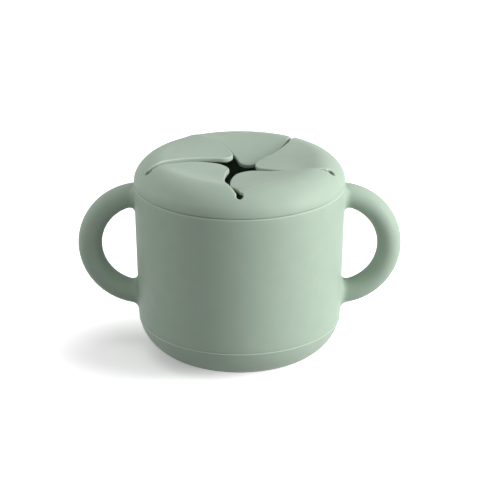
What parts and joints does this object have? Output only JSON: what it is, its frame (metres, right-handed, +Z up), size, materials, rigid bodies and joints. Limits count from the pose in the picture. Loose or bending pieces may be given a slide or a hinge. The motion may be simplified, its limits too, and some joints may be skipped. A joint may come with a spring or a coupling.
{
  "type": "toddler snack cup",
  "caption": "Soft silicone toddler snack cup with two loop handles and a push-on domed lid cut into spiral petals that bend aside for a small hand.",
  "frame": {"origin": "centre of the flat base on the table", "axes": "+Z up along the cup's axis, +X towards the right handle, -Y towards the front of the cup"},
  "size_m": [0.1328, 0.086, 0.084],
  "materials": {
    "cup_silicone": "matte sage green silicone",
    "lid_silicone": "matte sage green silicone"
  },
  "bodies": {
    "cup": {"cup": "cup_silicone", "handle_left": "cup_silicone", "handle_right": "cup_silicone"},
    "lid": {"lid_rim": "lid_silicone"},
    "petal_front_right": {"petal_front_right": "lid_silicone"},
    "petal_right": {"petal_right": "lid_silicone"},
    "petal_back": {"petal_back": "lid_silicone"},
    "petal_left": {"petal_left": "lid_silicone"},
    "petal_front_left": {"petal_front_left": "lid_silicone"}
  },
  "joints": [
    {"name": "lid_lift", "type": "slide", "parent": "cup", "child": "lid", "axis": [0, 0, 1], "range_m": [0, 0.03]},
    {"name": "bend_front_right", "type": "hinge", "parent": "lid", "child": "petal_front_right", "pos_m": [0.01756, -0.02416, 0.0809], "axis": [0.809, 0.5878, 0], "range_deg": [-70, 35], "stiffness_Nm_per_rad": 0.02},
    {"name": "bend_right", "type": "hinge", "parent": "lid", "child": "petal_right", "pos_m": [0.0284, 0.00923, 0.0809], "axis": [-0.309, 0.9511, 0], "range_deg": [-70, 35], "stiffness_Nm_per_rad": 0.02},
    {"name": "bend_back", "type": "hinge", "parent": "lid", "child": "petal_back", "pos_m": [0, 0.02987, 0.0809], "axis": [-1, 0, 0], "range_deg": [-70, 35], "stiffness_Nm_per_rad": 0.02},
    {"name": "bend_left", "type": "hinge", "parent": "lid", "child": "petal_left", "pos_m": [-0.0284, 0.00923, 0.0809], "axis": [-0.309, -0.9511, 0], "range_deg": [-70, 35], "stiffness_Nm_per_rad": 0.02},
    {"name": "bend_front_left", "type": "hinge", "parent": "lid", "child": "petal_front_left", "pos_m": [-0.01756, -0.02416, 0.0809], "axis": [0.809, -0.5878, 0], "range_deg": [-70, 35], "stiffness_Nm_per_rad": 0.02}
  ]
}
